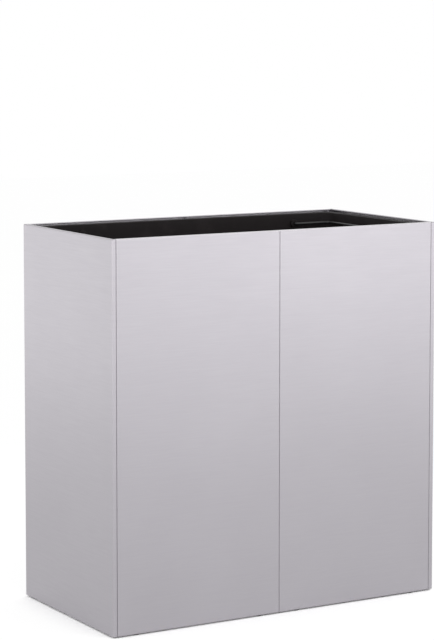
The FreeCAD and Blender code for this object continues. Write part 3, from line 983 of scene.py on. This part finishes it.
def liner_section():
    """Inset, corner radius and height of every ring of the liner."""
    rings = floor_round(liner_low.z + LINER_WALL, LINER_FLOOR_ROUND - LINER_WALL, LINER_WALL)
    for left, gone in quarter_round(MOUTH_ROUND):
        inset = wall_inset(liner_top - left, LINER_WALL) - gone
        rings.append((inset, LINER_CORNER + LINER_RIM - inset, liner_top - left))
    for left, gone in quarter_round(RIM_ROUND):
        rings.append((left, RIM_CORNER - left, liner_top - gone))
    skirt_inner = RIM_CORNER - LINER_WALL
    rings += [(0, RIM_CORNER, skirt_z), (LINER_WALL, skirt_inner, skirt_z)]
    rings += [(LINER_WALL, skirt_inner, under_z), (wall_inset(under_z, 0), LINER_CORNER, under_z)]
    return rings + floor_round(liner_low.z, LINER_FLOOR_ROUND, 0)[::-1]


liner_rings = liner_section()
print("liner section of", len(liner_rings), "points")

# %% [markdown]
# Every rounded rectangle has the same number of points, so the skin between two of them is a
# plain row of faces, even where a small corner meets a large one.

# %% Skin the tub
CORNER_STEPS = 12


def rounded_rectangle(inset, radius, z):
    """A ring of points round the liner."""
    ring = []
    inner_x = liner_high.x - inset - radius
    inner_y = liner_high.y - inset - radius
    for turn, (side_x, side_y) in enumerate(((1, 1), (-1, 1), (-1, -1), (1, -1))):
        for step in range(CORNER_STEPS + 1):
            angle = math.pi / 2 * (turn + step / CORNER_STEPS)
            ring.append(Vector((
                side_x * inner_x + radius * math.cos(angle),
                side_y * inner_y + radius * math.sin(angle),
                z,
            )))
    return ring


tub = skinned([rounded_rectangle(*ring) for ring in liner_rings])
print("tub of", len(tub.polygons), "faces")

# %% [markdown]
# Outside, upright beads stiffen the long thin walls. They follow the wall down its slope, so they
# are lines of two points for the wire tree.

# %% Beads
BEAD_RADIUS = 2.2 * MM
BEAD_SIDES = 12
BEAD_SPACING = 62 * MM
BEAD_TOP_GAP = 9 * MM


def bead_lines():
    """Upright lines on the liner's outer wall, as points and pairs."""
    points = []
    heights = (skirt_z - BEAD_TOP_GAP, liner_low.z + LINER_FLOOR_ROUND)
    for along, across, reach, wall in ((X, Y, liner_high.x, liner_high.y),
                                       (Y, X, liner_high.y, liner_high.x)):
        span = reach - wall_inset(liner_low.z, 0) - LINER_CORNER
        count = int(2 * span / BEAD_SPACING)
        for place in even(-span, span, count):
            for side in (-1, 1):
                for z in heights:
                    out = side * (wall - wall_inset(z, 0))
                    points.append(along * place + across * out + Z * z)
    return points, [(index, index + 1) for index in range(0, len(points), 2)]


bead_points, bead_pairs = bead_lines()
beads = run_tree(wire_along_path, bead_points, bead_pairs, {
    "Wire radius": BEAD_RADIUS, "Bend radius": 0.0, "Bend steps": 1,
    "Sides": BEAD_SIDES, "Material": liner_plastic,
})
print(len(bead_pairs), "beads")

# %% [markdown]
# Inside are a boss for each bail pin and a ledge for each bail to lie on. Both start in the
# middle of the wall, so that they overlap it and weld to it.

# %% Bosses and ledges
BOSS_RADIUS = 9.0 * MM
BOSS_ROUND = 1.2 * MM
BOSS_SIDES = 40
LEDGE_HALF = 20.0 * MM
LEDGE_THICKNESS = 4.0 * MM
LEDGE_REACH = 12.0 * MM
LEDGE_DROP = 0.3 * MM
LEDGE_ROUND = 1.5 * MM


def boss(pivot, side):
    """A boss for a bail pin, from the middle of the wall to its rounded inner face."""
    rings = [(BOSS_RADIUS, liner_high.y - wall_inset(pivot.z, LINER_WALL / 2))]
    rings += [(BOSS_RADIUS - gone, abs(pivot.y) + left) for left, gone in quarter_round(BOSS_ROUND)]
    return skinned([circle(radius, Vector((pivot.x, side * y, pivot.z)), X, Z, BOSS_SIDES)
                    for radius, y in rings])


def ledge(end, bail_z, wire_radius):
    """A ledge under the middle of a bail, rounded along its free edge."""
    wall_x = liner_high.x - wall_inset(bail_z, LINER_WALL / 2)
    free_x = liner_high.x - wall_inset(bail_z, LINER_WALL) - LEDGE_REACH
    top = bail_z - wire_radius - LEDGE_DROP
    outline = [(wall_x, top - LEDGE_THICKNESS), (wall_x, top)]
    outline += [(free_x + left, top - gone) for left, gone in quarter_round(LEDGE_ROUND)]
    outline.append((free_x + LEDGE_ROUND, top - LEDGE_THICKNESS))
    return skinned([[Vector((end * x, y, z)) for x, z in outline]
                    for y in (-LEDGE_HALF, LEDGE_HALF)])


print("bosses", round(2 * BOSS_RADIUS / MM), "mm wide, ledges", round(2 * LEDGE_HALF / MM), "mm long")

# %% [markdown]
# The drain holes are drilled after moulding, four along the floor and two across, and the bail
# pins sit in blind bores. Beads, bosses and ledges are welded to the tub in the same step, so the
# moulding stays one closed skin.

# %% Drill and weld the liner
PIN_IN_BOSS = 6.0 * MM
PIN_BORE = 6.5 * MM
BORE_GAP = 0.1 * MM
DRAIN_RADIUS = 5.0 * MM
DRAIN_SIDES = 32
DRAIN_COLUMNS = 4
DRAIN_ROWS = 2
OVERRUN = 1.0 * MM


def shares(count):
    """Middles of equal shares of a span from -1 to 1."""
    return [(2 * step + 1) / count - 1 for step in range(count)]


def rod(radius, start, end, first, second, sides):
    """A plain round cutter between two points."""
    return skinned([circle(radius, centre, first, second, sides) for centre in (start, end)])


added = [beads]
removed = []
for node, end in (("left_bail", -1), ("right_bail", 1)):
    route, wire_radius = bail_route(node)
    added.append(ledge(end, route[0].z, wire_radius))
    for side in (-1, 1):
        pivot = Vector((route[0].x, side * (route[-1].y - PIN_IN_BOSS), route[0].z))
        added.append(boss(pivot, side))
        removed.append(rod(wire_radius + BORE_GAP, pivot - Y * side * OVERRUN,
                           pivot + Y * side * PIN_BORE, X, Z, BOSS_SIDES))
floor_inset = wall_inset(liner_low.z, LINER_WALL)
floor_x = liner_high.x - floor_inset
floor_y = liner_high.y - floor_inset
for share_x in shares(DRAIN_COLUMNS):
    for share_y in shares(DRAIN_ROWS):
        hole = X * share_x * floor_x + Y * share_y * floor_y
        removed.append(rod(DRAIN_RADIUS, hole + Z * (liner_low.z - OVERRUN),
                           hole + Z * (liner_low.z + LINER_WALL + OVERRUN), X, Y, DRAIN_SIDES))
finish_piece("planting_liner", carved(tub, added, removed), liner_plastic)

# %% [markdown]
# ## Geometry Nodes: one part on many points
#
# Screws, nuts and glides repeat. The tree places one master part on every point of a carrier,
# turned by one angle, and makes the copies real. The carrier holds only the places, so moving a
# row of screws is moving points.

# %% Tree: parts on points
def parts_tree():
    """One part on every point, turned alike."""
    tree, given = new_tree("parts_on_points", {
        "Part": "NodeSocketObject", "Turn": "NodeSocketVector", "Material": "NodeSocketMaterial",
    })
    part = add_node(tree, "GeometryNodeObjectInfo", {"Object": given["Part"]})
    turn = add_node(tree, "FunctionNodeEulerToRotation", {"Euler": given["Turn"]})
    copies = add_node(
        tree, "GeometryNodeInstanceOnPoints",
        {"Points": given["Geometry"], "Instance": part.outputs["Geometry"],
         "Rotation": turn.outputs["Rotation"]},
    )
    close_tree(tree, copies.outputs["Instances"], given["Material"])
    return tree


parts_on_points = parts_tree()


def set_parts(node, master, places, turn, material):
    """Copies of a master mesh at all the places of one node."""
    part = new_object("master", master)
    mesh = run_tree(parts_on_points, places, [], {
        "Part": part, "Turn": (0.0, 0.0, turn), "Material": material,
    })
    bpy.data.objects.remove(part)
    finish_piece(node, mesh, material)


print("tree", parts_on_points.name)

# %% [markdown]
# ## Screws and nuts
#
# The seams are closed by M5 pan-head screws with a cross recess, and plain hexagon nuts. A screw
# is turned from a profile of radius and place along its axis, with its thread as a row of ridges.
# A real thread winds, but on a screw this small ridges look the same. The recess is cut by a
# tapered cross.

# %% Master screw
SCREW_RADIUS = 2.5 * MM
SCREW_LENGTH = 8.0 * MM
SCREW_SIDES = 36
THREAD_PITCH = 0.8 * MM
THREAD_DEPTH = 0.4 * MM
HEAD_RADIUS = 4.75 * MM
HEAD_HEIGHT = 3.4 * MM
HEAD_ROUND = 1.5 * MM
RECESS_HALF_LENGTH = 2.5 * MM
RECESS_HALF_WIDTH = 0.6 * MM
RECESS_DEPTH = 1.6 * MM
RECESS_TAPER = 0.6


def cross_recess():
    """A tapered cutter with the outline of a cross."""
    rings = []
    for x, scale in ((HEAD_HEIGHT - RECESS_DEPTH, RECESS_TAPER), (HEAD_HEIGHT + OVERRUN, 1.0)):
        long = RECESS_HALF_LENGTH * scale
        wide = RECESS_HALF_WIDTH
        ring = []
        for turn in range(4):
            angle = math.pi / 2 * turn
            for y, z in ((long, -wide), (long, wide), (wide, wide)):
                ring.append(Vector((x, y * math.cos(angle) - z * math.sin(angle),
                                    y * math.sin(angle) + z * math.cos(angle))))
        rings.append(ring)
    return skinned(rings)


def pan_screw():
    """A screw along -x with its head seated on x = 0."""
    root = SCREW_RADIUS - THREAD_DEPTH
    profile = [(HEAD_HEIGHT - gone, HEAD_RADIUS - left) for left, gone in quarter_round(HEAD_ROUND)]
    profile += [(0.0, HEAD_RADIUS), (0.0, SCREW_RADIUS)]
    ridges = int(SCREW_LENGTH / THREAD_PITCH)
    for ridge in range(ridges):
        x = -THREAD_PITCH * (ridge + 0.5)
        crest = SCREW_RADIUS if ridge < ridges - 1 else root
        profile += [(x, root), (x - THREAD_PITCH / 2, crest)]
    turned = skinned([circle(radius, X * x, Y, Z, SCREW_SIDES) for x, radius in profile])
    return carved(turned, [], [cross_recess()])


screw = pan_screw()
print("screw", len(screw.polygons), "faces")

# %% [markdown]
# A nut is a hexagon whose corners are taken off by a cone, so each of its rings has, all the way
# round, the smaller of the hexagon's radius and the cone's. The stack of rings runs up the bore
# and down the outside, and joins end to end.

# %% Master nut
NUT_HEIGHT = 4.0 * MM
NUT_FLAT = 4.0 * MM
NUT_BORE = 2.55 * MM
NUT_CHAMFER = 0.55 * MM


def hexagon(x, limit):
    """A hexagonal ring about the x axis, with its corners cut off at a radius."""
    ring = []
    for step in range(SCREW_SIDES):
        angle = 2 * math.pi * step / SCREW_SIDES
        from_flat = (angle + math.pi / 6) % (math.pi / 3) - math.pi / 6
        radius = min(NUT_FLAT / math.cos(from_flat), limit)
        ring.append(Vector((x, radius * math.cos(angle), radius * math.sin(angle))))
    return ring


def hex_nut():
    """A nut along -x from x = 0, with both faces chamfered."""
    bore = [circle(NUT_BORE, X * x, Y, Z, SCREW_SIDES) for x in (-NUT_HEIGHT, 0.0)]
    corner = NUT_FLAT / math.cos(math.pi / 6)
    outside = [hexagon(0.0, NUT_FLAT), hexagon(-NUT_CHAMFER, corner),
               hexagon(NUT_CHAMFER - NUT_HEIGHT, corner), hexagon(-NUT_HEIGHT, NUT_FLAT)]
    return skinned(bore + outside, endless=True)


nut = hex_nut()
print("nut", len(nut.polygons), "faces")

# %% [markdown]
# Four screws close each seam: one low, one high, one where a cross bearer is clamped with the
# flanges, and one midway below it. The heads face the same way as the bearer, and the nuts sit
# across the joint.

# %% Screws and nuts along the seams
BEARER_SHEET = 2.0 * MM
BEARER_LEG = 25.0 * MM
FIRST_SCREW = 70.0 * MM
TOP_SCREW_DROP = 70.0 * MM

bearer_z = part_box("centre_cross_bearer")[1].z - BEARER_LEG / 2
screw_heights = [FIRST_SCREW, (FIRST_SCREW + bearer_z) / 2, bearer_z, rim_z - TOP_SCREW_DROP]
seams = {"left_corner": (-panel_width, 1), "centre": (0.0, 1), "right_corner": (panel_width, -1)}

for seam, (seam_x, facing) in seams.items():
    turn = 0.0 if facing > 0 else math.pi
    for side, side_y in (("front", -1), ("back", 1)):
        y = side_y * (half_depth - flange_depth / 2)
        heads = []
        backs = []
        for z in screw_heights:
            clamped = SHEET + (BEARER_SHEET if z == bearer_z else 0.0)
            heads.append(Vector((seam_x + facing * clamped, y, z)))
            backs.append(Vector((seam_x - facing * SHEET, y, z)))
        set_parts(f"{side}_{seam}_screws", screw, heads, turn, zinc)
        set_parts(f"{side}_{seam}_nuts", nut, backs, turn, zinc)

# %% [markdown]
# ## Glides
#
# The planter stands on push-in glides: a disc under the sole, a stud through the sole and the
# floor plate, and a barb that holds it. They are turned forms, so each is a stack of circles.

# %% Glides
GLIDE_RADIUS = 8.5 * MM
GLIDE_CHAMFER = 0.8 * MM
GLIDE_EDGE = 0.35 * MM
STUD_RADIUS = 3.0 * MM
BARB_RADIUS = 4.2 * MM
BARB_HEIGHT = 2.0 * MM
TIP_ROUND = 0.5 * MM
GLIDE_SIDES = 40


def push_in_glide():
    """A glide standing on z = 0."""
    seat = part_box("floor_plate")[1].z
    tip = seat + BARB_HEIGHT
    profile = [
        (GLIDE_RADIUS - GLIDE_CHAMFER, 0.0), (GLIDE_RADIUS, GLIDE_CHAMFER),
        (GLIDE_RADIUS, sole_z - GLIDE_EDGE), (GLIDE_RADIUS - GLIDE_EDGE, sole_z),
        (STUD_RADIUS, sole_z), (STUD_RADIUS, seat), (BARB_RADIUS, seat),
        (STUD_RADIUS, tip - TIP_ROUND), (STUD_RADIUS - TIP_ROUND, tip),
    ]
    return skinned([circle(radius, Z * z, X, Y, GLIDE_SIDES) for radius, z in profile])


glide = push_in_glide()
for side in ("front", "back"):
    for end in ("left", "right"):
        node = f"{side}_{end}_glides"
        low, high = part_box(node)
        y = (low.y + high.y) / 2
        places = [Vector((x, y, 0)) for x in (low.x + GLIDE_RADIUS, high.x - GLIDE_RADIUS)]
        set_parts(node, glide, places, 0.0, glide_plastic)

# %% [markdown]
# ## Floor
#
# The floor is a white paper sweep that runs on into the white sky. One share of it is plain matt
# paper, which keeps the soft contact shadow under the planter. The other share glows at a
# strength of 1, which is white, for the rays that see the floor: the camera's own and those that
# metal mirrors, so that both see the same floor. The glow lights nothing else, and it fades out
# towards the planter's foot, where the shadow is darkest. A faint mottle keeps the paper from
# being flat.

# %% White paper
PAPER_MOTTLE = 600 * MM
GLOW_SHARE = 0.8
SHADOW_REACH = 60 * MM


def white_paper():
    """Matt white paper that partly glows for the rays that see it."""
    material, tree, place = new_material("matt_white_paper")
    mottle = add_node(
        tree, "ShaderNodeTexNoise", {"Vector": place, "Scale": 1 / PAPER_MOTTLE, "Detail": 3.0}
    )
    tone = add_node(
        tree, "ShaderNodeMix",
        {"Factor": mottle.outputs["Fac"], "A": linear("#FAFAFA"), "B": linear("#FDFDFD")},
        data_type="RGBA",
    )
    paper = add_node(
        tree, "ShaderNodeBsdfPrincipled",
        {"Base Color": tone.outputs["Result"], "Roughness": 0.8, "Specular IOR Level": 0.1},
    )
    ray = add_node(tree, "ShaderNodeLightPath").outputs
    mirrored = add_node(
        tree, "ShaderNodeMath",
        {0: ray["Is Glossy Ray"], 1: ray["Is Transmission Ray"]}, operation="MAXIMUM",
    )
    seen = add_node(
        tree, "ShaderNodeMath",
        {0: ray["Is Camera Ray"], 1: mirrored.outputs["Value"]}, operation="MAXIMUM",
    )
    from_axis = add_node(tree, "ShaderNodeVectorMath", {0: place}, operation="ABSOLUTE")
    from_foot = add_node(
        tree, "ShaderNodeVectorMath",
        {0: from_axis.outputs["Vector"], 1: (half_width, half_depth, 0.0)}, operation="SUBTRACT",
    )
    sides = add_node(tree, "ShaderNodeSeparateXYZ", {"Vector": from_foot.outputs["Vector"]})
    outside = add_node(
        tree, "ShaderNodeMath",
        {0: sides.outputs["X"], 1: sides.outputs["Y"]}, operation="MAXIMUM",
    )
    glowing = add_node(
        tree, "ShaderNodeMapRange",
        {"Value": outside.outputs["Value"], "From Min": 0.0, "From Max": SHADOW_REACH,
         "To Min": 0.0, "To Max": GLOW_SHARE},
    )
    share = add_node(
        tree, "ShaderNodeMath",
        {0: seen.outputs["Value"], 1: glowing.outputs["Result"]}, operation="MULTIPLY",
    )
    glow = add_node(tree, "ShaderNodeEmission", {"Color": linear("#FFFFFF"), "Strength": 1.0})
    sweep = add_node(
        tree, "ShaderNodeMixShader",
        {0: share.outputs["Value"], 1: paper.outputs["BSDF"], 2: glow.outputs["Emission"]},
    )
    add_node(tree, "ShaderNodeOutputMaterial", {"Surface": sweep.outputs["Shader"]})
    return material


# Matt paper has no gloss, so the floor shows only the soft shadow.
floor_paper = white_paper()
print("made", floor_paper.name)

# %% [markdown]
# The sweep is one large square just under the glides.

# %% Floor
FLOOR_HALF = 12.0
FLOOR_GAP = 0.1 * MM

floor_corners = [(-FLOOR_HALF, -FLOOR_HALF), (FLOOR_HALF, -FLOOR_HALF),
                 (FLOOR_HALF, FLOOR_HALF), (-FLOOR_HALF, FLOOR_HALF)]
floor_mesh = bpy.data.meshes.new("floor")
floor_mesh.from_pydata([(x, y, -FLOOR_GAP) for x, y in floor_corners], [], [(0, 1, 2, 3)])
floor_mesh.materials.append(floor_paper)
floor = new_object("floor", floor_mesh)
print("floor", 2 * FLOOR_HALF, "m square")

# %% [markdown]
# ## Light
#
# Metal shows its surroundings, so sheet metal is photographed in a white tent: here the world, at
# the strength where a colour comes out as it is written.

# %% White tent
world = bpy.data.worlds.new("white_tent")
bpy.context.scene.world = world
world.use_nodes = True
world.node_tree.nodes.clear()
tent = add_node(
    world.node_tree, "ShaderNodeBackground", {"Color": linear("#FFFFFF"), "Strength": 1.0}
)
add_node(world.node_tree, "ShaderNodeOutputWorld", {"Surface": tent.outputs["Background"]})
bpy.context.scene.view_settings.view_transform = "Standard"
print("made", world.name)

# %% [markdown]
# A ring of soft boxes stands round the planter, so every side and every fold mirrors one band of
# light. The level grain draws that band out upright, from a light rim to a darker foot. The boxes
# are gridded so that little light spills on the floor, and the ring is higher and stronger on one
# side, as a key light is. One more box hangs over the front, where the fold of the rim mirrors it
# as a fine bright line.

# %% Soft boxes
RING_RADIUS = 1.9
RING_BOXES = 12
RING_HEIGHT = 0.725
RING_TILT = 0.125
BOX_SIZE = (2 * math.pi * RING_RADIUS / RING_BOXES, 0.9)
BOX_POWER = 1.53
KEY_SHARE = 0.5
GRID_ANGLE = math.radians(120)
TOP_BOX_PLACE = Vector((0.0, -1.5, 1.85))
TOP_BOX_SIZE = (3.2, 1.0)
TOP_BOX_POWER = 4.0


def soft_box(name, place, aim, size, power):
    """A rectangular lamp that faces a point, with its light kept in by a grid."""
    lamp = bpy.data.lights.new(name, "AREA")
    lamp.shape = "RECTANGLE"
    lamp.size, lamp.size_y = size
    lamp.energy = power
    lamp.spread = GRID_ANGLE
    box = new_object(name, lamp)
    box.location = place
    box.rotation_euler = (aim - place).to_track_quat("-Z", "Y").to_euler()
    box.visible_camera = False


for step in range(RING_BOXES):
    angle = 2 * math.pi * step / RING_BOXES
    key = math.cos(angle)
    outward = X * math.sin(angle) - Y * math.cos(angle)
    middle = Z * (RING_HEIGHT + RING_TILT * key)
    power = BOX_POWER * (1 + KEY_SHARE * key)
    soft_box(f"soft_box_{step}", middle + outward * RING_RADIUS, middle, BOX_SIZE, power)
front_rim = Vector((0.0, -half_depth, rim_z))
soft_box("top_box", TOP_BOX_PLACE, front_rim, TOP_BOX_SIZE, TOP_BOX_POWER)
print(RING_BOXES, "soft boxes in a ring and one over the front")

# %% [markdown]
# ## Camera
#
# The picture's upright edges stay upright, as with a lens shifted down, and the front is turned
# by about thirty degrees. A long lens a few metres away fits the planter's corners. Most of the
# drop is taken by looking down a little, so that the shift stays small and every other view still
# frames the planter.

# %% Camera
CAMERA_TURN = math.radians(30.44)
CAMERA_DROP = math.radians(4.93)
CAMERA_DISTANCE = 4.847
AIM_HEIGHT = 0.8113
AIM_SIDE = -0.0282
LENS_LENGTH = 128.4
SENSOR_SIZE = 36.0
LENS_SHIFT = -0.16

camera_data = bpy.data.cameras.new("camera")
camera_data.lens = LENS_LENGTH
camera_data.sensor_width = SENSOR_SIZE
camera_data.shift_y = LENS_SHIFT
camera = new_object("camera", camera_data)
ahead = Vector((
    math.sin(CAMERA_TURN) * math.cos(CAMERA_DROP),
    math.cos(CAMERA_TURN) * math.cos(CAMERA_DROP),
    -math.sin(CAMERA_DROP),
))
sideways = Vector((math.cos(CAMERA_TURN), -math.sin(CAMERA_TURN), 0.0))
camera.location = Z * AIM_HEIGHT + sideways * AIM_SIDE - ahead * CAMERA_DISTANCE
camera.rotation_euler = ahead.to_track_quat("-Z", "Y").to_euler()
bpy.context.scene.camera = camera
print("camera at", [round(value, 3) for value in camera.location])
